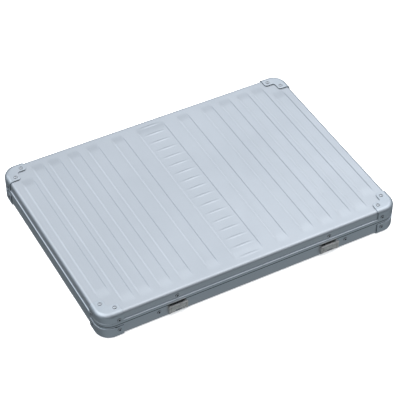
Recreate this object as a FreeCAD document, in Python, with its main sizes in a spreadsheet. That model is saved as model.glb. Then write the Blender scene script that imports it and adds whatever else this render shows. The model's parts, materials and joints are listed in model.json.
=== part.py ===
import FreeCAD, Part
import math
import os
import Sketcher

# A flat aluminium clipboard case: two pressed pans on extruded rims, riveted corner caps, a long rear hinge
# and two front latches, and inside it a lift-out writing board with a sprung clip.
# Millimetres. +X runs along the long side, the latches face -Y, +Z is up and the caps stand on Z = 0.

Vec = FreeCAD.Vector
AXES = {"x": Vec(1, 0, 0), "y": Vec(0, 1, 0), "z": Vec(0, 0, 1)}
UP, DOWN, BACK, FRONT = Vec(0, 0, 1), Vec(0, 0, -1), Vec(0, 1, 0), Vec(0, -1, 0)
TOUCHING = 1e-3

DIMENSIONS = {
    # overall, over the walls of the pans
    "case_length": 345, "case_width": 247, "base_height": 16.8, "lid_height": 14.4,
    "corner_radius": 15, "pan_edge_radius": 4, "pan_wall": 1.2, "fit_gap": 0.05, "loose_gap": 0.3,
    # rims
    "parting_gap": 0.4, "bead_height": 4.2, "bead_proud": 1.2, "lip_height": 2.8, "lip_proud": 0.5,
    "rim_edge_radius": 1.1, "lip_edge_radius": 0.45, "lid_rim_wall": 2.1, "base_rim_wall": 1.8,
    "lid_rim_flange": 6.4, "base_rim_flange": 8.2, "tongue_wall": 1.2, "tongue_depth": 2.7,
    # pressed bands and cross ribs
    "band_width": 15, "band_rise": 0.5, "band_side_run": 1.1, "band_end_run": 5, "band_margin": 10.2,
    "band_end_margin": 8.5, "middle_band_width": 35, "rib_length": 18.5, "rib_width": 3.4, "rib_rise": 0.35,
    "rib_side_run": 1.1, "rib_margin": 11.3,
    # corner caps
    "cap_wall": 1.2, "cap_leg": 24.5, "cap_flange": 13.2, "cap_lobe_radius": 3.5, "cap_scallop_radius": 3,
    "cap_rivet_near": 8.6, "cap_rivet_far": 19.4, "lid_side_rivet_rise": 6.6, "base_side_rivet_drop": 7.2,
    "cap_clearance": 1,
    # rivets
    "rivet_shank": 1.2, "rivet_head": 2.2, "rivet_head_height": 0.8, "rivet_rim_height": 0.25, "rivet_bore": 0.8,
    "rivet_tail": 1.7, "rivet_tail_height": 0.8, "foot_rivet_head": 2.4,
    # hinge
    "hinge_reach": 2.6, "knuckle_radius": 2.2, "hinge_pin_radius": 1, "hinge_leaf_wall": 1,
    "hinge_leaf_height": 11, "hinge_end_gap": 2, "knuckle_end_gap": 0.25, "hinge_rivet_offset": 7.8,
    # latches
    "latch_place": 88.5, "latch_width": 21.2, "latch_ear": 2.2, "latch_depth": 3.1, "latch_plate": 0.8,
    "latch_bottom": 6.4, "latch_top": 14.6, "latch_ear_radius": 1, "latch_pin_height": 8.2,
    "latch_pin_reach": 2.1, "latch_pin_radius": 0.6, "latch_knuckle": 1.25, "flap_wall": 1.2, "flap_top": 17.2,
    "flap_lip_height": 2, "flap_lip_reach": 0.9, "tooth_width": 8, "tooth_low": 10.5, "tooth_high": 11.7,
    "tooth_reach": 4.2, "tooth_room": 0.5, "hasp_width": 12, "hasp_wall": 1, "hasp_low": 8.2, "hasp_bar": 2,
    "hasp_window": 5.2, "hasp_rivet_rise": 8, "rim_rivet_place": 109, "rim_rivet_drop": 5.8,
    "bracket_rivet_place": 6.4, "bracket_rivet_drop": 1.9, "latch_wire": 0.4, "latch_spring_length": 6.2,
    # writing board
    "board_wall": 2, "board_top": 12.2, "board_margin": 5.5, "pen_tray_width": 26, "board_radius": 8,
    "rail_width": 6, "rail_inset": 5, "peg_radius": 1.5, "peg_depth": 3, "peg_inset": 12,
    # clip
    "clip_from_end": 30, "clip_width": 120, "clip_plate": 1, "clip_plate_front": 8, "clip_plate_back": 15,
    "clip_pin_rise": 5, "clip_pin_radius": 1.1, "clip_wall": 1.2, "clip_jaw_reach": 16, "clip_jaw_rise": 6.2,
    "clip_crown_rise": 8.7, "clip_crown_half": 2.4, "clip_tab_reach": 15, "clip_tab_rise": 12.4,
    "clip_ear_place": 38, "clip_ear_wall": 1.2, "clip_ear_half": 2.1, "grip_height": 1, "grip_width": 2,
    "clip_wire": 0.8, "clip_spring_length": 24, "clip_rivet_pitch": 42, "clip_rivet_place": 8.5,
    # lining
    "lining_wall": 2, "lining_margin": 6, "lining_corner": 26,
}

# What is counted rather than measured
BAND_FLATS = (15.4, 15.4, 8, 8, 4, 4)    # relative widths of the flats between the bands, from the middle out
RIB_COUNT = 17
KNUCKLE_COUNT = 13
HINGE_RIVET_COUNT = 10
LATCH_SPRING_TURNS = 6
CLIP_SPRING_TURNS = 15

doc = FreeCAD.newDocument("clipboard_case")
sheet = doc.addObject("Spreadsheet::Sheet", "Dims")
for row, (alias, value) in enumerate(DIMENSIONS.items(), start=1):
    sheet.set(f"A{row}", alias)
    sheet.set(f"B{row}", str(value))
    sheet.setAlias(f"B{row}", alias)
doc.recompute()


class Size:
    """A length and the spreadsheet expression that gives it."""

    def __init__(self, value, text):
        self.value = value
        self.text = text

    def __add__(self, other):
        other = as_size(other)
        return Size(self.value + other.value, f"({self.text} + {other.text})")

    def __sub__(self, other):
        other = as_size(other)
        return Size(self.value - other.value, f"({self.text} - {other.text})")

    def __mul__(self, factor):
        return Size(self.value * factor, f"({self.text} * {factor})")

    def __truediv__(self, divisor):
        return Size(self.value / divisor, f"({self.text} / {divisor})")

    def __neg__(self):
        return Size(-self.value, f"(-1 * {self.text})")


def as_size(value):
    return value if isinstance(value, Size) else Size(float(value), str(float(value)))


def dim(alias):
    return Size(float(sheet.get(alias)), f"Dims.{alias}")


# Levels and places that several pieces share
ZERO = as_size(0)
gap = dim("fit_gap")
pan = dim("pan_wall")
half_length = dim("case_length") / 2
half_width = dim("case_width") / 2
base_floor = dim("cap_wall")
base_inside = base_floor + pan
parting = base_floor + dim("base_height")
lid_bottom = parting + dim("parting_gap")
lip_bottom = parting - dim("lip_height")
bead_top = lid_bottom + dim("bead_height")
lid_top = lid_bottom + dim("lid_height")
lid_inside = lid_top - pan
case_top = lid_top + dim("cap_wall")
lid_rim_inner = pan + gap + dim("lid_rim_wall")
base_rim_inner = pan + gap + dim("base_rim_wall")
tongue_outer = base_rim_inner + dim("loose_gap")
tongue_inner = tongue_outer + dim("tongue_wall")
hinge_height = parting + dim("parting_gap") / 2
hinge_half = half_length - dim("cap_leg") - dim("hinge_end_gap")
hasp_top = bead_top + dim("lid_rim_flange")
hasp_rivet_height = lid_bottom + dim("hasp_rivet_rise")
hole_radius = dim("rivet_shank") + gap
board_low = dim("board_top") - dim("board_wall")
board_reach = half_length - dim("board_margin")
board_front = dim("pen_tray_width") - half_width
board_back = half_width - dim("board_margin")
board_middle = (board_front + board_back) / 2
rail_middle = board_reach - dim("rail_inset")
rail_front = board_front + dim("cap_clearance")
rail_back = half_width - dim("cap_leg") - dim("cap_clearance")
clip_place = half_length - dim("clip_from_end")


# ---------------------------------------------------------------- how the pieces are drawn
def bind(item, prop, size):
    item.setExpression(prop, as_size(size).text)


def new_sketch(body, name, role, offset=ZERO):
    sketch = body.newObject("Sketcher::SketchObject", name)
    plane = [item for item in body.Origin.OriginFeatures if item.Role == role][0]
    sketch.AttachmentSupport = (plane, [""])
    sketch.MapMode = "FlatFace"
    bind(sketch, "AttachmentOffset.Base.z", offset)
    return sketch


def hold(sketch, constraint, size):
    """Adds a driving constraint and ties it to the sheet."""
    number = sketch.addConstraint(constraint)
    bind(sketch, f"Constraints[{number}]", size)


def draw_outline(sketch, points):
    """A closed outline of straight sides with every corner placed from the sheet."""
    corners = [(as_size(u), as_size(v)) for u, v in points]
    count = len(corners)
    for index, (u, v) in enumerate(corners):
        next_u, next_v = corners[(index + 1) % count]
        sketch.addGeometry(Part.LineSegment(Vec(u.value, v.value, 0), Vec(next_u.value, next_v.value, 0)), False)
    for index, (u, v) in enumerate(corners):
        sketch.addConstraint(Sketcher.Constraint("Coincident", index, 2, (index + 1) % count, 1))
        for kind, size, axis in (("DistanceX", u, -2), ("DistanceY", v, -1)):
            if size is ZERO:
                sketch.addConstraint(Sketcher.Constraint("PointOnObject", index, 1, axis))
            else:
                hold(sketch, Sketcher.Constraint(kind, -1, 1, index, 1, size.value), size)


def draw_circle(sketch, u, v, radius):
    index = sketch.addGeometry(Part.Circle(Vec(u.value, v.value, 0), UP, radius.value), False)
    hold(sketch, Sketcher.Constraint("DistanceX", -1, 1, index, 3, u.value), u)
    hold(sketch, Sketcher.Constraint("DistanceY", -1, 1, index, 3, v.value), v)
    hold(sketch, Sketcher.Constraint("Radius", index, radius.value), radius)


def draw_rounded_rectangle(sketch, half_x, half_y, radius):
    """A rectangle about the origin with four equal tangent corner arcs."""
    reach_x, reach_y = (half_x - radius).value, (half_y - radius).value
    centres = [Vec(reach_x, -reach_y, 0), Vec(reach_x, reach_y, 0), Vec(-reach_x, reach_y, 0),
               Vec(-reach_x, -reach_y, 0)]
    for turn, centre in enumerate(centres):
        start = (turn - 1) * math.pi / 2
        out = Vec(math.cos(start), math.sin(start), 0) * radius.value
        sketch.addGeometry(Part.LineSegment(centres[turn - 1] + out, centre + out), False)
        circle = Part.Circle(centre, UP, radius.value)
        sketch.addGeometry(Part.ArcOfCircle(circle, start, start + math.pi / 2), False)
    for index in range(8):
        sketch.addConstraint(Sketcher.Constraint("Tangent", index, 2, (index + 1) % 8, 1))
    for index in range(0, 8, 2):
        sketch.addConstraint(Sketcher.Constraint("Vertical" if index % 4 else "Horizontal", index))
    for index in (1, 3, 5):
        sketch.addConstraint(Sketcher.Constraint("Equal", index, index + 2))
    sketch.addConstraint(Sketcher.Constraint("Symmetric", 0, 1, 4, 1, -1, 1))
    hold(sketch, Sketcher.Constraint("DistanceX", 6, 2, 2, 1, 2 * half_x.value), half_x * 2)
    hold(sketch, Sketcher.Constraint("DistanceY", 0, 1, 4, 2, 2 * half_y.value), half_y * 2)
    hold(sketch, Sketcher.Constraint("Radius", 1, radius.value), radius)


def pad(body, sketch, length, centred=False):
    feature = body.newObject("PartDesign::Pad", f"{sketch.Name}_pad")
    feature.Profile = sketch
    feature.Midplane = centred
    bind(feature, "Length", length)
    doc.recompute()


def pocket(body, sketch, length):
    """A cut to half the length on each side of its sketch."""
    before = body.Shape.Volume
    feature = body.newObject("PartDesign::Pocket", f"{sketch.Name}_pocket")
    feature.Profile = sketch
    feature.Midplane = True
    bind(feature, "Length", length)
    doc.recompute()
    if body.Shape.Volume > before - TOUCHING:
        raise ValueError(f"{sketch.Name} cuts nothing")


def revolve(body, sketch):
    feature = body.newObject("PartDesign::Revolution", f"{sketch.Name}_turn")
    feature.Profile = sketch
    feature.ReferenceAxis = (sketch, ["V_Axis"])
    feature.Angle = 360
    doc.recompute()


def round_edges(body, radius, chosen):
    """A fillet on the edges of the body for which chosen(edge) is true."""
    edges = [f"Edge{number}" for number, edge in enumerate(body.Shape.Edges, start=1) if chosen(edge)]
    if not edges:
        raise ValueError(f"{body.Name} has no such edge to round")
    base = body.Tip
    feature = body.newObject("PartDesign::Fillet", f"{body.Name}_round")
    feature.Base = (base, edges)
    bind(feature, "Radius", radius)
    doc.recompute()


def flat_at(edge, level):
    """True for an edge that lies all at one height."""
    return all(abs(vertex.Z - level.value) < TOUCHING for vertex in edge.Vertexes)


def upright_at(edge, x, y):
    """True for a vertical edge over one point."""
    return all(math.hypot(vertex.X - x.value, vertex.Y - y.value) < TOUCHING for vertex in edge.Vertexes)


def box(name, x_range, y_range, z_range):
    feature = doc.addObject("Part::Box", name)
    sides = (("Length", "x", x_range), ("Width", "y", y_range), ("Height", "z", z_range))
    for side, place, (low, high) in sides:
        bind(feature, side, as_size(high) - low)
        bind(feature, f"Placement.Base.{place}", low)
    return feature


def bar(name, radius, start, length, axis):
    """A round bar from start along an axis."""
    feature = doc.addObject("Part::Cylinder", name)
    bind(feature, "Radius", radius)
    bind(feature, "Height", length)
    feature.Placement = FreeCAD.Placement(Vec(0, 0, 0), FreeCAD.Rotation(UP, AXES[axis]))
    for place, size in zip("xyz", start):
        bind(feature, f"Placement.Base.{place}", size)
    return feature


def put(feature, **places):
    """Moves a piece that is drawn about its own middle to its place in the case."""
    for place, size in places.items():
        bind(feature, f"Placement.Base.{place}", size)
    doc.recompute()
    return feature


def fuse(name, shapes):
    feature = doc.addObject("Part::MultiFuse", name)
    feature.Shapes = shapes
    feature.Refine = True
    doc.recompute()
    return feature


def group(name, shapes):
    feature = doc.addObject("Part::Compound", name)
    feature.Links = shapes
    doc.recompute()
    return feature


def cut(name, base, tool):
    doc.recompute()
    feature = doc.addObject("Part::Cut", name)
    feature.Base = base
    feature.Tool = tool
    feature.Refine = True
    doc.recompute()
    if feature.Shape.Volume > base.Shape.Volume - TOUCHING:
        raise ValueError(f"{name} cuts nothing")
    return feature


def from_shape(name, shape):
    feature = doc.addObject("Part::Feature", name)
    feature.Shape = shape
    return feature


nodes = []


def keep(feature, label):
    """Marks a finished piece, whose label names its file."""
    feature.Label = label
    nodes.append(feature)
    return feature


# ---------------------------------------------------------------- where the rivets go: (seat of the head, facing)
def on_caps_flat(level, facing):
    """Two rivets on the flat of each of the four caps."""
    near, far = dim("cap_rivet_near").value, dim("cap_rivet_far").value
    reach_x, reach_y = half_length.value, half_width.value
    return [(Vec(side_x * (reach_x - along), side_y * (reach_y - across), level.value), facing)
            for side_x in (-1, 1) for side_y in (-1, 1) for along, across in ((far, near), (near, far))]


def on_caps_sides(level):
    """One rivet on each of the two walls of the four caps."""
    far, out = dim("cap_rivet_far").value, dim("cap_wall").value
    reach_x, reach_y = half_length.value, half_width.value
    places = []
    for side_x in (-1, 1):
        for side_y in (-1, 1):
            places.append((Vec(side_x * (reach_x - far), side_y * (reach_y + out), level.value), BACK * side_y))
            places.append((Vec(side_x * (reach_x + out), side_y * (reach_y - far), level.value), AXES["x"] * side_x))
    return places


def on_hinge(level):
    pitch = 2 * hinge_half.value / HINGE_RIVET_COUNT
    seat = (half_width + dim("hinge_leaf_wall")).value
    return [(Vec(pitch * (number + 0.5) - hinge_half.value, seat, level.value), BACK)
            for number in range(HINGE_RIVET_COUNT)]


def on_front(places, level, out=ZERO):
    return [(Vec(place, -(half_width + out).value, level.value), FRONT) for place in places]


latch_places = [-dim("latch_place").value, dim("latch_place").value]
rim_rivet_places = [-dim("rim_rivet_place").value, dim("rim_rivet_place").value]
bracket_places = [place + side * dim("bracket_rivet_place").value for place in latch_places for side in (-1, 1)]

LID_FLAT = on_caps_flat(case_top, UP)
BASE_FLAT = on_caps_flat(ZERO, DOWN)
LID_SIDES = on_caps_sides(lid_bottom + dim("lid_side_rivet_rise"))
BASE_SIDES = on_caps_sides(parting - dim("base_side_rivet_drop"))
HASPS = on_front(latch_places, hasp_rivet_height)
RIM_FRONT = on_front(rim_rivet_places, parting - dim("rim_rivet_drop"))
BRACKETS = on_front(bracket_places, dim("latch_top") - dim("bracket_rivet_drop"), dim("latch_plate"))
LID_HINGE = on_hinge(hinge_height + dim("hinge_rivet_offset"))
BASE_HINGE = on_hinge(hinge_height - dim("hinge_rivet_offset"))
CLIP = [(Vec((clip_place + dim("clip_rivet_place")).value,
             board_middle.value + number * dim("clip_rivet_pitch").value,
             (dim("board_top") + dim("clip_plate")).value), UP) for number in (-1, 0, 1)]


# ---------------------------------------------------------------- rivets and their holes
def blind_rivet(name, grip):
    """A blind rivet about +Z with its head's seat at the origin: low head, open bore, set tail past the grip."""
    body = doc.addObject("PartDesign::Body", name)
    sketch = new_sketch(body, f"{name}_section", "XZ_Plane")
    tail_end = -grip - dim("rivet_tail_height")
    draw_outline(sketch, [
        (ZERO, tail_end), (dim("rivet_tail"), tail_end), (dim("rivet_tail"), -grip),
        (dim("rivet_shank"), -grip), (dim("rivet_shank"), ZERO), (dim("rivet_head"), ZERO),
        (dim("rivet_head"), dim("rivet_rim_height")), (dim("rivet_bore"), dim("rivet_head_height")),
        (dim("rivet_bore"), -dim("rivet_head_height")), (ZERO, -dim("rivet_head_height")),
    ])
    revolve(body, sketch)
    return body


def foot_rivet(name, grip):
    """A countersunk rivet about +Z whose flat head ends level with the origin."""
    body = doc.addObject("PartDesign::Body", name)
    sketch = new_sketch(body, f"{name}_section", "XZ_Plane")
    tail_end = -grip - dim("rivet_tail_height")
    shoulder = dim("rivet_shank") - dim("foot_rivet_head")
    draw_outline(sketch, [
        (ZERO, tail_end), (dim("rivet_tail"), tail_end), (dim("rivet_tail"), -grip),
        (dim("rivet_shank"), -grip), (dim("rivet_shank"), shoulder), (dim("foot_rivet_head"), ZERO), (ZERO, ZERO),
    ])
    revolve(body, sketch)
    return body


def set_rivets(label, master, places):
    copies = []
    for seat, facing in places:
        copy = master.Shape.copy()
        copy.Placement = FreeCAD.Placement(seat, FreeCAD.Rotation(UP, facing))
        copies.append(copy)
    keep(from_shape(label, Part.makeCompound(copies)), label)


def holes(name, places, depth):
    """A round tool at every rivet, from in front of its head's seat to a depth behind it."""
    lead = dim("rivet_head_height").value
    return from_shape(name, Part.makeCompound([
        Part.makeCylinder(hole_radius.value, depth.value + lead, seat + facing * lead, facing * -1)
        for seat, facing in places]))


def countersinks(name, places, depth):
    sink = (dim("foot_rivet_head") - dim("rivet_shank")).value
    mouth = (dim("foot_rivet_head") + gap).value
    tools = []
    for seat, facing in places:
        cone = Part.makeCone(mouth, hole_radius.value, sink, seat, facing * -1)
        tools.append(cone.fuse(Part.makeCylinder(hole_radius.value, depth.value, seat, facing * -1)))
    return from_shape(name, Part.makeCompound(tools))


lid_wall_grip = pan + gap + dim("lid_rim_wall")
base_wall_grip = pan + gap + dim("base_rim_wall")
flat_grip = dim("cap_wall") + pan
hasp_grip = lid_wall_grip + gap + dim("hasp_wall")
clip_grip = dim("clip_plate") + dim("board_wall")
through_wall = hasp_grip + dim("cap_wall") + dim("rivet_tail_height")
through_flat = flat_grip + dim("rivet_tail_height")

lid_flat_holes = holes("lid_flat_holes", LID_FLAT, through_flat)
base_flat_holes = countersinks("base_flat_holes", BASE_FLAT, through_flat)
lid_wall_holes = holes("lid_wall_holes", LID_SIDES + HASPS + LID_HINGE, through_wall)
base_wall_holes = holes("base_wall_holes", BASE_SIDES + RIM_FRONT + BRACKETS + BASE_HINGE, through_wall)
clip_holes = holes("clip_holes", CLIP, clip_grip + dim("rivet_tail_height"))


def rivets():
    cap = dim("cap_wall")
    leaf = dim("hinge_leaf_wall")
    groups = (
        ("lid_cap_rivets", flat_grip, LID_FLAT), ("lid_cap_side_rivets", lid_wall_grip + cap, LID_SIDES),
        ("base_cap_side_rivets", base_wall_grip + cap, BASE_SIDES), ("base_rim_rivets", base_wall_grip, RIM_FRONT),
        ("hasp_rivets", hasp_grip, HASPS), ("hinge_lid_rivets", lid_wall_grip + leaf, LID_HINGE),
        ("hinge_base_rivets", base_wall_grip + leaf, BASE_HINGE), ("clip_rivets", clip_grip, CLIP),
    )
    for label, grip, places in groups:
        set_rivets(label, blind_rivet(f"{label}_master", grip), places)
    set_rivets("base_cap_foot_rivets", foot_rivet("foot_rivet_master", flat_grip), BASE_FLAT)
    depth = (base_wall_grip + dim("latch_plate")).value
    flush = [Part.makeCylinder(dim("rivet_shank").value, depth, seat, facing * -1) for seat, facing in BRACKETS]
    keep(from_shape("latch_bracket_rivets", Part.makeCompound(flush)), "latch_bracket_rivets")


# ---------------------------------------------------------------- pans
def rounded_block(name, low, high, inset, edge_radius, level):
    """A block inside the outline of the walls by an inset, rounded along the edges of its face at a level."""
    body = doc.addObject("PartDesign::Body", name)
    outline = new_sketch(body, f"{name}_outline", "XY_Plane", low)
    draw_rounded_rectangle(outline, half_length - inset, half_width - inset, dim("corner_radius") - inset)
    pad(body, outline, high - low)
    round_edges(body, edge_radius, lambda edge: flat_at(edge, level))
    return body


def drawn_pan(name, low, high, open_above):
    """A drawn pan: an even wall round a flat panel, rounded along the panel's edge, open on the other side."""
    panel, inner_panel = (low, low + pan) if open_above else (high, high - pan)
    inner_low, inner_high = (inner_panel, high + gap) if open_above else (low - gap, inner_panel)
    outer = rounded_block(f"{name}_outside", low, high, ZERO, dim("pan_edge_radius"), panel)
    inner = rounded_block(f"{name}_inside", inner_low, inner_high, pan, dim("pan_edge_radius") - pan, inner_panel)
    return cut(name, outer, inner)


def pressing(name, middle, half_foot, level, rise, runs, upwards):
    """A raised flat with sloping sides, given by its middle, its foot's half sizes, its rise and its slopes."""
    wedge = doc.addObject("Part::Wedge", name)
    half_x, half_y = half_foot
    sides = {"Xmin": -half_x, "Xmax": half_x, "Zmin": -half_y, "Zmax": half_y, "Ymin": ZERO, "Ymax": rise,
             "X2min": runs[0] - half_x, "X2max": half_x - runs[0], "Z2min": runs[1] - half_y,
             "Z2max": half_y - runs[1]}
    for prop, size in sides.items():
        bind(wedge, prop, size)
    wedge.Placement = FreeCAD.Placement(Vec(0, 0, 0), FreeCAD.Rotation(AXES["x"], 90 if upwards else -90))
    for place, size in zip("xyz", (*middle, level)):
        bind(wedge, f"Placement.Base.{place}", size)
    return wedge


def bands(name, level, upwards):
    """The wide middle band and six bands each side of it. The last one stops short of the corner caps."""
    rise = dim("band_rise")
    runs = (dim("band_side_run"), dim("band_end_run"))
    half_band = dim("band_width") / 2
    full = half_width - dim("band_end_margin")
    short = half_width - dim("cap_leg") - dim("cap_clearance")
    edge = dim("middle_band_width") / 2
    room = half_length - dim("band_margin") - edge - dim("band_width") * len(BAND_FLATS)
    made = [pressing(f"{name}_middle", (ZERO, ZERO), (edge, full), level, rise, runs, upwards)]
    for number, flat in enumerate(BAND_FLATS, start=1):
        edge = edge + room * (flat / sum(BAND_FLATS))
        half_y = short if number == len(BAND_FLATS) else full
        for side, word in ((1, "right"), (-1, "left")):
            made.append(pressing(f"{name}_{word}_{number}", ((edge + half_band) * side, ZERO),
                                 (half_band, half_y), level, rise, runs, upwards))
        edge = edge + dim("band_width")
    return made


def ribs(name, level):
    """The row of short cross ribs down the lid's middle band."""
    half_foot = (dim("rib_length") / 2, dim("rib_width") / 2)
    runs = (dim("rib_side_run"), dim("rib_side_run"))
    pitch = (half_width - dim("rib_margin")) * 2 / (RIB_COUNT - 1)
    return [pressing(f"{name}_{number}", (ZERO, pitch * (number - (RIB_COUNT - 1) / 2)), half_foot, level,
                     dim("band_rise") + dim("rib_rise"), runs, True) for number in range(RIB_COUNT)]


def lid_shell():
    plain = drawn_pan("lid_pan", bead_top, lid_top, False)
    raised = fuse("lid_raised", [plain] + bands("lid_band", lid_top, True) + ribs("lid_rib", lid_top))
    hollow = fuse("lid_hollow", bands("lid_groove", lid_inside, True) + ribs("lid_slot", lid_inside))
    pressed = cut("lid_pressed", raised, hollow)
    keep(cut("lid_drilled", pressed, group("lid_holes", [lid_flat_holes, lid_wall_holes])), "lid_shell")


def base_shell():
    plain = drawn_pan("base_pan", base_floor, lip_bottom, True)
    raised = fuse("base_raised", [plain] + bands("base_band", base_floor, False))
    hollow = fuse("base_hollow", bands("base_groove", base_inside, False))
    pressed = cut("base_pressed", raised, hollow)
    tools = group("base_holes", [base_flat_holes, base_wall_holes] + tooth_slots("base_slot"))
    keep(cut("base_drilled", pressed, tools), "base_shell")


def tooth_slots(name):
    """Slots through the front wall for the latch teeth, up to the rim's lip."""
    half = dim("tooth_width") / 2 + dim("tooth_room")
    return [box(f"{name}_{word}", (dim("latch_place") * side - half, dim("latch_place") * side + half),
                (-half_width - gap, base_rim_inner + gap - half_width),
                (dim("tooth_low") - dim("tooth_room"), lip_bottom - gap))
            for side, word in ((-1, "left"), (1, "right"))]


# ---------------------------------------------------------------- rims
def rim_body(name, section, proud, edge_radius):
    """An extruded rim bent round the mouth of a pan. The section is (distance inside the wall's face, height)."""
    body = doc.addObject("PartDesign::Body", name)
    path = new_sketch(body, f"{name}_path", "XY_Plane")
    draw_rounded_rectangle(path, half_length, half_width, dim("corner_radius"))
    profile = new_sketch(body, f"{name}_section", "YZ_Plane")
    draw_outline(profile, [(half_width - inward, height) for inward, height in section])
    doc.recompute()
    pipe = body.newObject("PartDesign::AdditivePipe", f"{name}_pipe")
    pipe.Profile = profile
    pipe.Spine = (path, [])
    doc.recompute()

    def outermost(edge):
        level = edge.Vertexes[0].Z
        reach = [max(abs(vertex.X) - half_length.value, abs(vertex.Y) - half_width.value)
                 for vertex in edge.Vertexes]
        return (all(abs(out - proud.value) < TOUCHING for out in reach)
                and all(abs(vertex.Z - level) < TOUCHING for vertex in edge.Vertexes))

    round_edges(body, edge_radius, outermost)
    return body


def hinge_room(name, low, high):
    """Takes the bead or the lip off flush with the wall along the hinge."""
    reach = hinge_half + dim("knuckle_end_gap") * 2
    return box(name, (-reach, reach), (half_width, half_width + dim("hinge_reach")), (low - gap, high + gap))


def lid_rim():
    """Half-round bead, flange up inside the pan, and a tongue that reaches down inside the base."""
    flange_top = bead_top + dim("lid_rim_flange")
    tongue_low = lid_bottom - dim("tongue_depth")
    body = rim_body("lid_rim_body", [
        (-dim("bead_proud"), lid_bottom), (-dim("bead_proud"), bead_top - gap), (pan + gap, bead_top - gap),
        (pan + gap, flange_top), (lid_rim_inner, flange_top), (lid_rim_inner, bead_top),
        (tongue_inner, bead_top), (tongue_inner, tongue_low), (tongue_outer, tongue_low),
        (tongue_outer, lid_bottom),
    ], dim("bead_proud"), dim("rim_edge_radius"))
    half = dim("hasp_width") / 2 + dim("tooth_room")
    tools = [lid_wall_holes, hinge_room("lid_rim_hinge_room", lid_bottom, bead_top)]
    for side, word in ((-1, "left"), (1, "right")):
        middle = dim("latch_place") * side
        tools.append(box(f"lid_rim_notch_{word}", (middle - half, middle + half),
                         (lid_rim_inner - half_width, tongue_inner + gap - half_width),
                         (tongue_low - gap, bead_top + gap)))
    keep(cut("lid_rim_cut", body, group("lid_rim_tools", tools)), "lid_rim")


def base_rim():
    """A low lip under the lid's bead, with a flange down inside the pan."""
    flange_low = lip_bottom - dim("base_rim_flange")
    body = rim_body("base_rim_body", [
        (-dim("lip_proud"), lip_bottom + gap), (-dim("lip_proud"), parting), (base_rim_inner, parting),
        (base_rim_inner, flange_low), (pan + gap, flange_low), (pan + gap, lip_bottom + gap),
    ], dim("lip_proud"), dim("lip_edge_radius"))
    tools = [base_wall_holes, hinge_room("base_rim_hinge_room", lip_bottom, parting)]
    keep(cut("base_rim_cut", body, group("base_rim_tools", tools + tooth_slots("base_rim_slot"))), "base_rim")


# ---------------------------------------------------------------- corner caps
def corner_block(name, out, low, high, edge_radius, outline):
    """A block round a corner whose two wall faces meet over the origin, rounded in plan and along its top."""
    body = doc.addObject("PartDesign::Body", name)
    sketch = new_sketch(body, f"{name}_outline", "XY_Plane", low)
    draw_outline(sketch, outline)
    pad(body, sketch, high - low)
    plan_radius = dim("corner_radius") + out
    round_edges(body, plan_radius, lambda edge: upright_at(edge, out, out))
    centre = out - plan_radius

    def outer_top(edge):
        outer = [max(vertex.X, vertex.Y) for vertex in edge.Vertexes]
        on_walls = all(abs(place - out.value) < TOUCHING for place in outer)
        middle = edge.valueAt((edge.FirstParameter + edge.LastParameter) / 2)
        reach = math.hypot(middle.x - centre.value, middle.y - centre.value)
        straight = abs(max(middle.x, middle.y) - out.value) < TOUCHING
        return flat_at(edge, high) and on_walls and (straight or abs(reach - plan_radius.value) < TOUCHING)

    round_edges(body, edge_radius, outer_top)
    return body


def cap_form(name, low, high):
    """The pressed cap for the rear right corner: two walls and a flange with a scallop between two lobes."""
    out, leg, flange = dim("cap_wall"), dim("cap_leg"), dim("cap_flange")
    block = corner_block(f"{name}_block", out, low, high, dim("pan_edge_radius") + out, [
        (-leg, out), (out, out), (out, -leg), (-flange, -leg), (-flange, -flange), (-leg, -flange)])
    round_edges(block, dim("cap_lobe_radius"),
                lambda edge: upright_at(edge, -flange, -leg) or upright_at(edge, -leg, -flange))
    round_edges(block, dim("cap_scallop_radius"), lambda edge: upright_at(edge, -flange, -flange))
    far = leg + out * 4
    core = corner_block(f"{name}_core", ZERO, low - out, high - out, dim("pan_edge_radius"), [
        (-far, ZERO), (ZERO, ZERO), (ZERO, -far), (-far, -far)])
    return cut(f"{name}_pressed", block, core)


def corner_cap(label, low, high, turn, side, tools, upside_down):
    form = cap_form(label, low, high)
    spin = FreeCAD.Rotation(UP, 90 * turn)
    if upside_down:
        spin = spin * FreeCAD.Rotation(Vec(1, 1, 0), 180)
    form.Placement = FreeCAD.Placement(Vec(0, 0, 0), spin)
    put(form, x=half_length * side[0], y=half_width * side[1])
    keep(cut(f"{label}_drilled", form, tools), label)


def corner_caps():
    lid_tools = group("lid_cap_tools", [lid_flat_holes, lid_wall_holes])
    base_tools = group("base_cap_tools", [base_flat_holes, base_wall_holes])
    corners = (("rear_right", (1, 1)), ("rear_left", (-1, 1)), ("front_left", (-1, -1)), ("front_right", (1, -1)))
    for turn, (word, side) in enumerate(corners):
        corner_cap(f"lid_corner_cap_{word}", bead_top, case_top, turn, side, lid_tools, False)
        corner_cap(f"base_corner_cap_{word}", gap - lip_bottom, ZERO, turn, side, base_tools, True)


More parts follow.
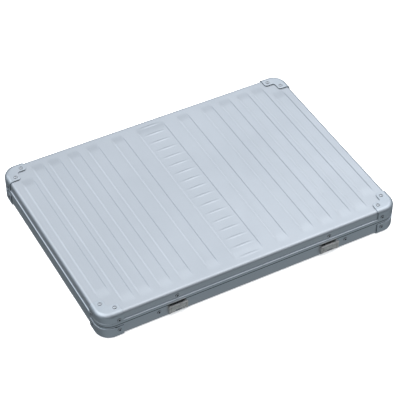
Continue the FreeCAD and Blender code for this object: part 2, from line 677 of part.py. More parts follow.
# ---------------------------------------------------------------- hinge
def hinge_leaf(label, way, first, drill):
    """One leaf: a strap on the outside of the wall, curled into every other knuckle of the row."""
    body = doc.addObject("PartDesign::Body", f"{label}_body")
    axis_y = half_width + dim("hinge_reach")
    far = hinge_height + dim("hinge_leaf_height") * way
    leaf_face = half_width + dim("hinge_leaf_wall")
    strap = new_sketch(body, f"{label}_strap", "YZ_Plane")
    draw_outline(strap, [(half_width, hinge_height), (leaf_face, hinge_height), (leaf_face, far), (half_width, far)])
    pad(body, strap, hinge_half * 2, centred=True)
    ring = new_sketch(body, f"{label}_ring", "YZ_Plane")
    draw_circle(ring, axis_y, hinge_height, dim("knuckle_radius"))
    pad(body, ring, hinge_half * 2, centred=True)
    bore = new_sketch(body, f"{label}_bore", "YZ_Plane")
    draw_circle(bore, axis_y, hinge_height, dim("hinge_pin_radius") + gap)
    pocket(body, bore, hinge_half * 2)
    relief = dim("knuckle_radius") + dim("loose_gap")
    pitch = hinge_half * 2 / KNUCKLE_COUNT
    tools = [drill]
    for number in range(first, KNUCKLE_COUNT, 2):
        start = pitch * number - hinge_half
        tools.append(box(f"{label}_room_{number}",
                         (start - dim("knuckle_end_gap"), start + pitch + dim("knuckle_end_gap")),
                         (half_width - gap, axis_y + relief), (hinge_height - relief, hinge_height + relief)))
    keep(cut(f"{label}_cut", body, group(f"{label}_tools", tools)), label)


def hinge():
    hinge_leaf("hinge_lid_leaf", 1, 0, lid_wall_holes)
    hinge_leaf("hinge_base_leaf", -1, 1, base_wall_holes)
    pin = bar("hinge_pin_bar", dim("hinge_pin_radius"),
              (-hinge_half, half_width + dim("hinge_reach"), hinge_height), hinge_half * 2, "x")
    keep(pin, "hinge_pin")


# ---------------------------------------------------------------- latches, each drawn about its own middle
def outward(size):
    """The Y place of a distance in front of the front wall."""
    return -half_width - size


def latch_bracket(word, place):
    """A steel plate riveted flush to the front wall, with an ear at each end for the pin."""
    half, ear = dim("latch_width") / 2, dim("latch_ear")
    levels = (dim("latch_bottom"), dim("latch_top"))
    to_ears = (outward(dim("latch_depth")), outward(gap))
    body = fuse(f"latch_{word}_blank", [
        box(f"latch_{word}_plate", (-half, half), (outward(dim("latch_plate")), outward(ZERO)), levels),
        box(f"latch_{word}_ear_left", (-half, ear - half), to_ears, levels),
        box(f"latch_{word}_ear_right", (half - ear, half), to_ears, levels)])
    rounded = doc.addObject("Part::Fillet", f"latch_{word}_rounded")
    rounded.Base = body
    radius = dim("latch_ear_radius").value
    front = outward(dim("latch_depth")).value
    rounded.Edges = [(number, radius, radius) for number, edge in enumerate(body.Shape.Edges, start=1)
                     if all(abs(vertex.Y - front) < TOUCHING for vertex in edge.Vertexes)
                     and edge.BoundBox.XLength > TOUCHING]
    doc.recompute()
    window = dim("tooth_width") / 2 + dim("tooth_room")
    opening = box(f"latch_{word}_window", (-window, window), (outward(dim("latch_plate") + gap), outward(-gap)),
                  (dim("tooth_low") - dim("tooth_room"), dim("latch_top") + gap))
    bore = bar(f"latch_{word}_bore", dim("latch_pin_radius") + gap,
               (-half - gap, outward(dim("latch_pin_reach")), dim("latch_pin_height")), (half + gap) * 2, "x")
    bored = cut(f"latch_{word}_bored", rounded, group(f"latch_{word}_bracket_tools", [opening, bore]))
    put(bored, x=place)
    keep(cut(f"latch_{word}_bracket_drilled", bored, base_wall_holes), f"latch_{word}_bracket")


def latch_flap(word, place):
    """The flap: a plate curled round the pin, a finger lip along its top and a tooth behind it."""
    half = dim("latch_width") / 2 - dim("latch_ear") - dim("loose_gap")
    front = outward(dim("latch_depth"))
    back = outward(dim("latch_depth") - dim("flap_wall"))
    lip_front = front - dim("flap_lip_reach")
    lip_low = dim("flap_top") - dim("flap_lip_height")
    pin = (outward(dim("latch_pin_reach")), dim("latch_pin_height"))
    inside = outward(-dim("tooth_reach"))
    body = doc.addObject("PartDesign::Body", f"latch_{word}_flap_body")
    plate = new_sketch(body, f"latch_{word}_flap_plate", "YZ_Plane")
    draw_outline(plate, [(back, pin[1]), (back, dim("flap_top")), (front, dim("flap_top")), (front, pin[1])])
    pad(body, plate, half * 2, centred=True)
    curl = new_sketch(body, f"latch_{word}_flap_curl", "YZ_Plane")
    draw_circle(curl, *pin, dim("latch_knuckle"))
    pad(body, curl, half * 2, centred=True)
    lip = new_sketch(body, f"latch_{word}_flap_lip", "YZ_Plane")
    draw_outline(lip, [(back, lip_low), (back, dim("flap_top")), (lip_front, dim("flap_top")),
                       (lip_front, lip_low + dim("flap_lip_reach")), (front, lip_low)])
    pad(body, lip, dim("latch_width") - dim("loose_gap") * 2, centred=True)
    tooth = new_sketch(body, f"latch_{word}_flap_tooth", "YZ_Plane")
    draw_outline(tooth, [(back - gap, dim("tooth_low")), (back - gap, dim("tooth_high")),
                         (inside, dim("tooth_high")), (inside, dim("tooth_low"))])
    pad(body, tooth, dim("tooth_width"), centred=True)
    bore = new_sketch(body, f"latch_{word}_flap_bore", "YZ_Plane")
    draw_circle(bore, *pin, dim("latch_pin_radius") + gap)
    pocket(body, bore, half * 2)
    room = dim("latch_spring_length") / 2 + dim("loose_gap")
    reach = dim("latch_knuckle") + dim("loose_gap")
    notch = box(f"latch_{word}_spring_room", (-room, room), (pin[0] - reach, pin[0] + reach),
                (pin[1] - reach, pin[1] + reach))
    notched = cut(f"latch_{word}_flap_notched", body, notch)
    keep(put(notched, x=place), f"latch_{word}_flap")


def coil(name, wire, middle_radius, length, turns):
    """A torsion spring's coil along +Z from the origin."""
    helix = Part.makeHelix(length / turns, length, middle_radius)
    start = Part.Wire([Part.Circle(Vec(middle_radius, 0, 0), BACK, wire / 2).toShape()])
    return from_shape(name, Part.Wire(helix).makePipeShell([start], True, True))


def latch_spring(word, place):
    wire = dim("latch_wire").value
    length = dim("latch_spring_length").value - 2 * wire
    middle_radius = (dim("latch_pin_radius") + gap * 2).value + wire / 2
    spring = coil(f"latch_{word}_coil", wire, middle_radius, length, LATCH_SPRING_TURNS)
    start = Vec(place.value - length / 2, outward(dim("latch_pin_reach")).value, dim("latch_pin_height").value)
    spring.Placement = FreeCAD.Placement(start, FreeCAD.Rotation(UP, AXES["x"]))
    keep(spring, f"latch_{word}_spring")


def latch_hasp(word, place):
    """A plate riveted inside the lid's rim. It reaches down behind the base wall and its window takes the tooth."""
    half = dim("hasp_width") / 2
    window = dim("tooth_width") / 2 + dim("tooth_room")
    face = lid_rim_inner + gap - half_width
    back = face + dim("hasp_wall")
    low = dim("hasp_low") + dim("hasp_bar")
    plate = box(f"latch_{word}_hasp_plate", (-half, half), (face, back), (dim("hasp_low"), hasp_top))
    opening = box(f"latch_{word}_hasp_window", (-window, window), (face - gap, back + gap),
                  (low, low + dim("hasp_window")))
    opened = put(cut(f"latch_{word}_hasp_opened", plate, opening), x=place)
    keep(cut(f"latch_{word}_hasp_drilled", opened, lid_wall_holes), f"latch_{word}_hasp")


def latches():
    for side, word in ((-1, "left"), (1, "right")):
        place = dim("latch_place") * side
        latch_bracket(word, place)
        latch_flap(word, place)
        latch_spring(word, place)
        latch_hasp(word, place)
        start = (place - dim("latch_width") / 2, outward(dim("latch_pin_reach")), dim("latch_pin_height"))
        keep(bar(f"latch_{word}_rod", dim("latch_pin_radius"), start, dim("latch_width"), "x"), f"latch_{word}_pin")


# ---------------------------------------------------------------- writing board, rails, pegs and lining
def writing_board():
    """A flat plate that lies on two rails. Four pegs keep it in place, and it lifts out."""
    body = doc.addObject("PartDesign::Body", "board_body")
    outline = new_sketch(body, "board_outline", "XY_Plane", board_low)
    draw_outline(outline, [(-board_reach, board_front), (board_reach, board_front), (board_reach, board_back),
                           (-board_reach, board_back)])
    pad(body, outline, dim("board_wall"))
    round_edges(body, dim("board_radius"), lambda edge: edge.BoundBox.ZLength > TOUCHING)
    peg_low = board_low - dim("peg_depth")
    pegs, sockets = [], []
    for side, word in ((-1, "left"), (1, "right")):
        for end, place in (("front", rail_front + dim("peg_inset")), ("back", rail_back - dim("peg_inset"))):
            start = (rail_middle * side, place, peg_low)
            pegs.append(bar(f"peg_{end}_{word}", dim("peg_radius"), start, dim("board_top") - peg_low, "z"))
            sockets.append(bar(f"peg_socket_{end}_{word}", dim("peg_radius") + gap, start,
                               dim("board_top") + gap - peg_low, "z"))
    peg_sockets = group("peg_sockets", sockets)
    keep(cut("board_drilled", body, group("board_holes", [peg_sockets, clip_holes])), "writing_board")
    keep(group("board_pegs", pegs), "board_pegs")
    half = dim("rail_width") / 2
    for side, word in ((-1, "left"), (1, "right")):
        rail = box(f"rail_{word}_bar", (rail_middle * side - half, rail_middle * side + half),
                   (rail_front, rail_back), (base_inside, board_low))
        keep(cut(f"rail_{word}_drilled", rail, peg_sockets), f"board_rail_{word}")


def lid_lining():
    """A foam sheet stuck inside the lid, with its corners cut off to clear the caps' rivets."""
    reach_x, reach_y = half_length - dim("lining_margin"), half_width - dim("lining_margin")
    slope = dim("lining_corner")
    body = doc.addObject("PartDesign::Body", "lining_body")
    outline = new_sketch(body, "lining_outline", "XY_Plane", lid_inside - dim("lining_wall"))
    draw_outline(outline, [
        (slope - reach_x, -reach_y), (reach_x - slope, -reach_y), (reach_x, slope - reach_y),
        (reach_x, reach_y - slope), (reach_x - slope, reach_y), (slope - reach_x, reach_y),
        (-reach_x, reach_y - slope), (-reach_x, slope - reach_y)])
    pad(body, outline, dim("lining_wall"))
    keep(body, "lid_lining")


# ---------------------------------------------------------------- clip, drawn about its pin on the board's face
def ear_pair(name, place, low, high):
    """Two upright ears round the clip's pin, one each side of the middle, with their ends rounded."""
    half, wall = dim("clip_ear_half"), dim("clip_ear_wall")
    made = []
    for side, word in ((-1, "near"), (1, "far")):
        start = place * side - wall / 2
        made.append(box(f"{name}_{word}", (-half, half), (start, start + wall), (low, high)))
        made.append(bar(f"{name}_eye_{word}", half, (ZERO, start, dim("clip_pin_rise")), wall, "y"))
    return made


def clip_bore(name):
    half = dim("clip_width") / 2
    return bar(name, dim("clip_pin_radius") + gap, (ZERO, -half, dim("clip_pin_rise")), half * 2, "y")


def on_board(feature):
    return put(feature, x=clip_place, y=board_middle, z=dim("board_top"))


def clip_base():
    """The clip's plate, riveted to the board, with two lugs that carry the pin."""
    half = dim("clip_width") / 2
    plate = box("clip_base_plate", (-dim("clip_plate_front"), dim("clip_plate_back")), (-half, half),
                (ZERO, dim("clip_plate")))
    lug_place = dim("clip_ear_place") + dim("clip_ear_wall") + dim("loose_gap")
    blank = fuse("clip_base_blank", [plate] + ear_pair("clip_lug", lug_place, ZERO, dim("clip_pin_rise")))
    bored = on_board(cut("clip_base_bored", blank, clip_bore("clip_base_bore")))
    keep(cut("clip_base_drilled", bored, clip_holes), "clip_base")
    length = (lug_place + dim("clip_ear_wall") / 2) * 2
    pin = bar("clip_pin_bar", dim("clip_pin_radius"), (clip_place, board_middle - length / 2,
              dim("board_top") + dim("clip_pin_rise")), length, "y")
    keep(pin, "clip_pin")


def clip_lever():
    """The pressed lever: a jaw over the paper, a crown over the pin, a thumb tab, and an ear at each side."""
    wall, half = dim("clip_wall"), dim("clip_crown_half")
    jaw, tab = dim("clip_jaw_reach"), dim("clip_tab_reach")
    low = dim("loose_gap") + dim("grip_height")
    crown, shoulder, tip = dim("clip_crown_rise"), dim("clip_jaw_rise"), dim("clip_tab_rise")
    body = doc.addObject("PartDesign::Body", "clip_lever_body")
    section = new_sketch(body, "clip_lever_section", "XZ_Plane")
    draw_outline(section, [
        (-jaw, low), (wall - jaw, low), (wall - jaw, shoulder - wall), (-half, crown - wall),
        (half, crown - wall), (tab, tip - wall), (tab, tip), (half, crown), (-half, crown), (-jaw, shoulder)])
    pad(body, section, dim("clip_width"), centred=True)
    ears = ear_pair("clip_lever_ear", dim("clip_ear_place"), dim("clip_pin_rise"), crown - wall / 2)
    blank = fuse("clip_lever_blank", [body] + ears)
    keep(on_board(cut("clip_lever_bored", blank, clip_bore("clip_lever_bore"))), "clip_lever")
    end = dim("clip_width") / 2
    grip = box("clip_grip_strip", (-jaw, dim("grip_width") - jaw), (-end, end), (dim("loose_gap"), low))
    strip = group("clip_grip_placed", [grip])
    keep(on_board(strip), "clip_grip")


def clip_spring():
    wire = dim("clip_wire").value
    length = dim("clip_spring_length").value
    middle_radius = (dim("clip_pin_radius") + gap * 3).value + wire / 2
    spring = coil("clip_coil", wire, middle_radius, length, CLIP_SPRING_TURNS)
    start = Vec(clip_place.value, board_middle.value - length / 2, (dim("board_top") + dim("clip_pin_rise")).value)
    spring.Placement = FreeCAD.Placement(start, FreeCAD.Rotation(UP, BACK))
    keep(spring, "clip_spring")


lid_shell()
base_shell()
lid_rim()
base_rim()
corner_caps()
rivets()
hinge()
latches()
writing_board()
lid_lining()
clip_base()
clip_lever()
clip_spring()
doc.recompute()

broken = [item.Label for item in doc.Objects if {"Invalid", "Error"} & set(item.State)]
if broken:
    raise ValueError(f"failed objects: {broken}")
for node in nodes:
    if node.Shape.isNull() or not node.Shape.isValid():
        raise ValueError(f"{node.Label} has no sound shape")

os.makedirs("parts", exist_ok=True)
for node in nodes:
    node.Shape.exportStep(os.path.join("parts", f"{node.Label}.step"))
    print(f"{node.Label:32s} solids {len(node.Shape.Solids):3d}  volume {node.Shape.Volume:10.1f}")
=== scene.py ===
import json
import math

import bmesh
import bpy
import numpy as np
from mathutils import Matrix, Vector

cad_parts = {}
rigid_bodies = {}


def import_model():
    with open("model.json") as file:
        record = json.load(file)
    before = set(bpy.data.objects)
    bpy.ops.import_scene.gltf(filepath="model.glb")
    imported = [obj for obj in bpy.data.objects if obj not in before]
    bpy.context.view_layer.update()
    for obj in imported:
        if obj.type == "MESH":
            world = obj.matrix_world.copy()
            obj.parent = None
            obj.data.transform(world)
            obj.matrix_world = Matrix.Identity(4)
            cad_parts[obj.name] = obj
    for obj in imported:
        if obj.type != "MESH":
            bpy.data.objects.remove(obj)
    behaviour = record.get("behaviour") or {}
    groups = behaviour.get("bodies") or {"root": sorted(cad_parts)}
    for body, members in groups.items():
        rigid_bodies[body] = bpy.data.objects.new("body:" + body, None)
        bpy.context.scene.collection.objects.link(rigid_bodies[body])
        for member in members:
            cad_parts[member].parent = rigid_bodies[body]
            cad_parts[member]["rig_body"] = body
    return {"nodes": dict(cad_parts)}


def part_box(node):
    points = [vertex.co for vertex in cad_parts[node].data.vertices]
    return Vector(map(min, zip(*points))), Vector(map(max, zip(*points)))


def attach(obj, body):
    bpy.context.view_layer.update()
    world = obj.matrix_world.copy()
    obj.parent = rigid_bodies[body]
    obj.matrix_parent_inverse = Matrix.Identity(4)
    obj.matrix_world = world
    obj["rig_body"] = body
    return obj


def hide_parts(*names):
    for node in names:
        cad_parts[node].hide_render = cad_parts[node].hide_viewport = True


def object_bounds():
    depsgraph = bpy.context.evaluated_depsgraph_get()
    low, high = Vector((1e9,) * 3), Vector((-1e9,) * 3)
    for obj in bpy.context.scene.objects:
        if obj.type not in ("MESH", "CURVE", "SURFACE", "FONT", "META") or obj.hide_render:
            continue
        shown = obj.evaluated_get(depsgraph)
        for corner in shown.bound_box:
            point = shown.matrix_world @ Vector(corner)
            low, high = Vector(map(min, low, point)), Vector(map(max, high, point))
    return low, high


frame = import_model()
cad_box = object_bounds()
nodes = frame["nodes"]


# ---------------------------------------------------------------- lid shell
# The lid is one sheet of aluminium, drawn into a shallow pan, bead-blasted and clear anodised. Long bands
# and a row of short cross ribs are pressed up through it from inside, which keeps its large flat stiff.
lid_low, lid_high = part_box("lid_shell")
sheet_wall = 0.0012
bend_radius = 0.004
plan_radius = 0.015
half_x, half_y = lid_high.x, lid_high.y
band_height, band_slope, band_fade = 0.0007, 0.0023, 0.014
band_reach, short_band_reach = half_y - 0.0085, half_y - 0.0255
rib_height, rib_slope, rib_half = 0.00035, 0.0011, (0.00925, 0.0017)
rib_count, rib_margin = 17, 0.0113
rib_places = np.linspace(rib_margin - half_y, half_y - rib_margin, rib_count)
wide_band_half, band_half = 0.0175, 0.0075
band_gaps = (0.0154, 0.0154, 0.008, 0.008, 0.004, 0.004)
band_steps, fade_steps, rib_steps = 4, 7, 3


def pressed_bands():
    """(middle, half width, reach) of each long band: one wide one, six on each side, the last ones short."""
    edge = wide_band_half
    bands = [(0.0, edge, band_reach)]
    for number, gap in enumerate(band_gaps, 1):
        edge += gap
        reach = short_band_reach if number == len(band_gaps) else band_reach
        bands += [(side * (edge + band_half), band_half, reach) for side in (-1, 1)]
        edge += 2 * band_half
    return bands


def eased(distance, run):
    """0 outside an edge and 1 past its slope, with both ends of the slope rounded."""
    share = np.clip(distance / run, 0, 1)
    return share * share * (3 - 2 * share)


def band_rise(x, y):
    """How far the long bands lift the sheet at each place."""
    rise = np.zeros_like(x)
    for middle, half, reach in pressed_bands():
        across = eased(half - np.abs(x - middle), band_slope)
        rise = np.maximum(rise, across * eased(reach - np.abs(y), band_fade))
    return rise * band_height


def rib_rise(x, y):
    """How far the cross ribs lift the sheet at each place."""
    rise = np.zeros_like(x)
    for middle in rib_places:
        across = eased(rib_half[1] - np.abs(y - middle), rib_slope)
        rise = np.maximum(rise, across * eased(rib_half[0] - np.abs(x), rib_slope))
    return rise * rib_height


def slope_lines(edges, run, steps):
    """Grid lines over the slope inside each edge, on both sides of the middle."""
    return [side * (edge - run * step / steps)
            for edge in edges for side in (-1, 1) for step in range(steps + 1)]


def grid_lines(marks, reach, widest=0.006):
    """Sorted lines from -reach to reach through every mark, none further apart than widest."""
    marks = np.unique(np.round([mark for mark in marks if abs(mark) < reach] + [-reach, reach], 6))
    lines = [marks[:1]]
    for start, end in zip(marks, marks[1:]):
        lines.append(np.linspace(start, end, max(1, math.ceil((end - start) / widest)) + 1)[1:])
    return np.concatenate(lines)


def modified(mesh, kind, **settings):
    """The mesh as one modifier leaves it."""
    holder = bpy.data.objects.new(mesh.name, mesh)
    bpy.context.scene.collection.objects.link(holder)
    step = holder.modifiers.new(kind, kind)
    for key, value in settings.items():
        setattr(step, key, value)
    finished = bpy.data.meshes.new_from_object(holder.evaluated_get(bpy.context.evaluated_depsgraph_get()))
    bpy.data.objects.remove(holder)
    return finished


def shaded(mesh, crease):
    """Smooth but for its creases, with the large flats kept flat right up to their edges."""
    mesh.shade_smooth()
    mesh.set_sharp_from_angle(angle=math.radians(crease))
    return modified(mesh, "WEIGHTED_NORMAL", mode="FACE_AREA", weight=50, keep_sharp=True)


def closed_mesh(name, points, faces):
    """A mesh with its seams joined and its normals turned outwards."""
    mesh = bpy.data.meshes.new(name)
    corners = [[int(corner) for corner in face] for face in faces]
    mesh.from_pydata([tuple(point) for point in points], [], corners)
    shape = bmesh.new()
    shape.from_mesh(mesh)
    bmesh.ops.remove_doubles(shape, verts=shape.verts, dist=1e-6)
    bmesh.ops.recalc_face_normals(shape, faces=shape.faces)
    shape.to_mesh(mesh)
    shape.free()
    return mesh


def pan_mesh(name, panel, mouth, rise, rows, slots=(), slot_depth=0.0):
    """A drawn pan with even walls. Its panel is a grid that follows the rounded corners, and its wall is
    rolled from the panel's edge. Each slot, (x from, x to), is open at the mouth of the front wall."""
    corner_step, roll_step = 15, 11.25
    way = 1 if panel > mouth else -1
    flat_x, flat_y = half_x - bend_radius, half_y - bend_radius
    inner_radius = plan_radius - bend_radius
    straight_x, straight_y = flat_x - inner_radius, flat_y - inner_radius
    corner_lines = [side * (straight_x + inner_radius * math.sin(math.radians(turn)))
                    for turn in range(0, 90, corner_step) for side in (-1, 1)]
    band_edges = [middle + side * (half - band_slope * step / band_steps)
                  for middle, half, _ in pressed_bands()
                  for side in (-1, 1) for step in range(band_steps + 1)]
    columns = grid_lines(corner_lines + band_edges + [edge for slot in slots for edge in slot], flat_x)
    rows = grid_lines(rows, flat_y)
    beyond = np.clip(np.abs(columns) - straight_x, 0, inner_radius)
    reach = straight_y + np.sqrt(inner_radius ** 2 - beyond ** 2)
    x = np.repeat(columns[:, None], len(rows), axis=1)
    y = rows[None, :] * (reach / flat_y)[:, None]
    lift = (rise(x, y) * way).ravel()
    flat = np.stack([x.ravel(), y.ravel()], axis=1)
    index = np.arange(x.size).reshape(x.shape)
    ring = np.concatenate([index[:-1, 0], index[-1, :-1], index[:0:-1, -1], index[0, :0:-1]])
    quads = np.stack([index[:-1, :-1], index[1:, :-1], index[1:, 1:], index[:-1, 1:]], axis=-1)
    quads = quads.reshape(-1, 4)
    edge = flat[ring]
    out = np.sign(edge) * np.clip(np.abs(edge) - [straight_x, straight_y], 0, None)
    out /= np.linalg.norm(out, axis=1)[:, None]

    points, faces, walls = [], [], []
    count = 0
    for radius, level in ((bend_radius, panel), (bend_radius - sheet_wall, panel - way * sheet_wall)):
        points.append(np.column_stack([flat, level + lift]))
        faces += (quads + count).tolist()
        loops = [ring + count]
        count += len(flat)
        roll = [(radius * math.sin(turn), level - way * radius * (1 - math.cos(turn)))
                for turn in np.radians(np.arange(roll_step, 91, roll_step))]
        wall = [(radius, mouth + way * depth) for depth in ((slot_depth, 0.0) if slots else (0.0,))]
        for reach_out, height in roll + wall:
            points.append(np.column_stack([edge + out * reach_out, np.full(len(ring), height)]))
            loops.append(np.arange(len(ring)) + count)
            count += len(ring)
        walls.append(loops)
    outer, inner = walls

    nexts = np.roll(np.arange(len(ring)), -1)
    middles = (edge + edge[nexts]) / 2
    opened = [bool(middle[1] < -straight_y and any(start < middle[0] < end for start, end in slots))
              for middle in middles]
    for here, after in enumerate(nexts):
        last = len(outer) - 1 - opened[here]
        for loops in walls:
            faces += [[loops[step][here], loops[step][after], loops[step + 1][after], loops[step + 1][here]]
                      for step in range(last)]
        faces.append([outer[last][here], outer[last][after], inner[last][after], inner[last][here]])
        if opened[here] != opened[here - 1]:
            faces.append([outer[-2][here], outer[-1][here], inner[-1][here], inner[-2][here]])
    return shaded(closed_mesh(name, np.concatenate(points), faces), 35)


def add_piece(name, mesh, material, node):
    """Puts a finished mesh in place of a plain CAD node, on the node's own body."""
    mesh.materials.clear()
    mesh.materials.append(material)
    piece = bpy.data.objects.new(name, mesh)
    bpy.context.scene.collection.objects.link(piece)
    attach(piece, nodes[node]["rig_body"])
    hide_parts(node)
    return piece


def node_adder(tree):
    """A function that adds a node to the tree, with its settings made and its inputs set or joined."""
    def add(kind, inputs, **settings):
        node = tree.nodes.new(kind)
        for key, value in settings.items():
            setattr(node, key, value)
        for key, value in inputs.items():
            if isinstance(value, bpy.types.NodeSocket):
                tree.links.new(value, node.inputs[key])
            else:
                node.inputs[key].default_value = value
        return node

    return add


def new_material(name):
    """A material, its tree, its shader, and a function that adds nodes to it."""
    material = bpy.data.materials.new(name)
    material.use_nodes = True
    tree = material.node_tree
    return material, tree, tree.nodes["Principled BSDF"], node_adder(tree)


def noise(add, place, size, stretch=(1, 1, 1), detail=3.0):
    """Noise with features of a real size in metres. A stretch under 1 draws them out along that axis."""
    scale = tuple(share / size for share in stretch)
    scaled = add("ShaderNodeMapping", {"Vector": place, "Scale": scale}).outputs["Vector"]
    return add("ShaderNodeTexNoise", {"Vector": scaled, "Scale": 1.0, "Detail": detail}).outputs["Fac"]


def between(add, value, low, high, start=0.3, end=0.7):
    """The value brought from start and end to low and high, and held there beyond them."""
    return add("ShaderNodeMapRange", {"Value": value, "From Min": start, "From Max": end,
                                      "To Min": low, "To Max": high}).outputs["Result"]


def blended(add, share, first, second):
    """The first colour where the share is 0 and the second where it's 1."""
    return add("ShaderNodeMix", {0: share, 6: first, 7: second}, data_type="RGBA").outputs[2]


def drifting_tone(add, place, tones, drift):
    """A tone that wanders between two colours, over a distance of about the drift."""
    wander = between(add, noise(add, place, drift), 0.0, 1.0)
    return blended(add, wander, (*tones[0], 1), (*tones[1], 1))


def give_surface(tree, shader, add, fine, roughness, wear, depth):
    """Roughness and bump from the same fine grain, with the wear added to the roughness."""
    dulled = add("ShaderNodeMath", {0: between(add, fine, *roughness), 1: wear}, operation="ADD")
    tree.links.new(dulled.outputs["Value"], shader.inputs["Roughness"])
    bump = add("ShaderNodeBump", {"Height": fine, "Strength": 1.0, "Distance": depth})
    tree.links.new(bump.outputs["Normal"], shader.inputs["Normal"])


def metal(name, tones, drift, roughness, grain, depth, stretch=(1, 1, 1), dirt=None):
    """A metal with a slow drift of tone, a fine grain, and a duller look where hands have been. Painted
    shade, a mask from 0 to 1 made by the function given, darkens it where shade falls in seams and hollows."""
    painted_shade_tone, smear_size, handling = (0.045, 0.045, 0.048, 1), 0.02, 0.04
    material, tree, shader, add = new_material(name)
    place = add("ShaderNodeTexCoord", {}).outputs["Object"]
    tone = drifting_tone(add, place, tones, drift)
    if dirt:
        # painted shade: a near-black tone blended into the colour where the mask is high
        tone = blended(add, dirt(add, place), tone, painted_shade_tone)
    tree.links.new(tone, shader.inputs["Base Color"])
    shader.inputs["Metallic"].default_value = 1.0
    fine = noise(add, place, grain, stretch, detail=2.0)
    smears = noise(add, place, smear_size, (1, 0.6, 1), detail=5.0)
    give_surface(tree, shader, add, fine, roughness, between(add, smears, -handling, handling), depth)
    return material


blasted_sheet = metal("blasted sheet", tones=((0.575, 0.61, 0.645), (0.615, 0.65, 0.685)), drift=0.11,
                      roughness=(0.40, 0.46), grain=0.0006, depth=0.00001)
band_rows = slope_lines([band_reach, short_band_reach], band_fade, fade_steps)
rib_rows = [middle + side * (rib_half[1] - rib_slope * step / rib_steps)
            for middle in rib_places for side in (-1, 1) for step in range(rib_steps + 1)]
lid_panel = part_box("lid_corner_cap_rear_right")[1].z - sheet_wall
lid_sheet = pan_mesh("lid sheet", lid_panel, lid_low.z, lambda x, y: band_rise(x, y) + rib_rise(x, y),
                     band_rows + rib_rows)
add_piece("lid_pressing", lid_sheet, blasted_sheet, "lid_shell")


# ---------------------------------------------------------------- base shell
# The base is drawn from the same sheet, with the long bands pressed downwards and no cross ribs.
# Two notches are punched in the mouth of its front wall, where the latch teeth reach through.
base_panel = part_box("base_corner_cap_rear_right")[0].z + sheet_wall
base_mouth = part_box("base_shell")[1].z
notch_half, notch_place, notch_depth = 0.0045, 0.0885, 0.0052
notches = [(side * notch_place - notch_half, side * notch_place + notch_half) for side in (-1, 1)]
base_sheet = pan_mesh("base sheet", base_panel, base_mouth, band_rise, band_rows, notches, notch_depth)
add_piece("base_pressing", base_sheet, blasted_sheet, "base_shell")


# ---------------------------------------------------------------- rims
# Each pan's mouth is bound by an extruded aluminium strip, bent round and riveted through the wall: a
# half-round bead with a tongue on the lid, and a thin lip on the base that the tongue drops inside.
seam_height = 0.0182


def softened(node, width, material, segments=2):
    """A CAD piece with its edges broken by the width given, as tumbling or deburring leaves them."""
    mesh = nodes[node].data.copy()
    shape = bmesh.new()
    shape.from_mesh(mesh)
    bmesh.ops.remove_doubles(shape, verts=shape.verts, dist=1e-6)
    bmesh.ops.dissolve_degenerate(shape, edges=shape.edges, dist=1e-6)
    shape.to_mesh(mesh)
    shape.free()
    if "custom_normal" in mesh.attributes:
        mesh.attributes.remove(mesh.attributes["custom_normal"])
    worn = modified(mesh, "BEVEL", width=width, segments=segments, limit_method="ANGLE",
                    angle_limit=math.radians(38))
    return add_piece(f"{node}_finished", shaded(worn, 50), material, node)


def worked(add, operation, first, second=0.0):
    """The result of one sum on every point of the surface."""
    return add("ShaderNodeMath", {0: first, 1: second}, operation=operation).outputs[0]


def seam_painted_shade(add, place):
    """Painted shade in the seam between lid and base, along its outer edge, gone a millimetre off it or
    inside it.
    """
    full_shade, above_seam, inside_bead = 0.97, (0.0005, 0.001), (0.0018, 0.001)

    height = add("ShaderNodeSeparateXYZ", {"Vector": place}).outputs["Z"]
    off = worked(add, "ABSOLUTE", worked(add, "SUBTRACT", height, seam_height))
    turned_in = place
    for operation, second in (("ABSOLUTE", (0, 0, 0)),
                              ("SUBTRACT", (half_x - plan_radius, half_y - plan_radius, 1)),
                              ("MAXIMUM", (0, 0, 0))):
        turned_in = add("ShaderNodeVectorMath", {0: turned_in, 1: second}, operation=operation).outputs[0]
    reach = add("ShaderNodeVectorMath", {0: turned_in}, operation="LENGTH").outputs["Value"]
    bead_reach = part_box("lid_rim")[1].x - half_x + plan_radius
    beside = between(add, off, full_shade, 0.0, *above_seam)
    outside = between(add, reach, 0.0, 1.0, *(bead_reach - depth for depth in inside_bead))
    return worked(add, "MULTIPLY", beside, outside)


# The rims' colour carries painted shade along the seam, where the bead shades the gap below it.
rim_strip = metal("extruded rim", tones=((0.55, 0.60, 0.64), (0.62, 0.66, 0.70)), drift=0.06,
                  roughness=(0.30, 0.38), grain=0.0008, depth=0.000006, stretch=(0.06, 0.06, 1),
                  dirt=seam_painted_shade)
for node in ("lid_rim", "base_rim"):
    softened(node, 0.00015, rim_strip)


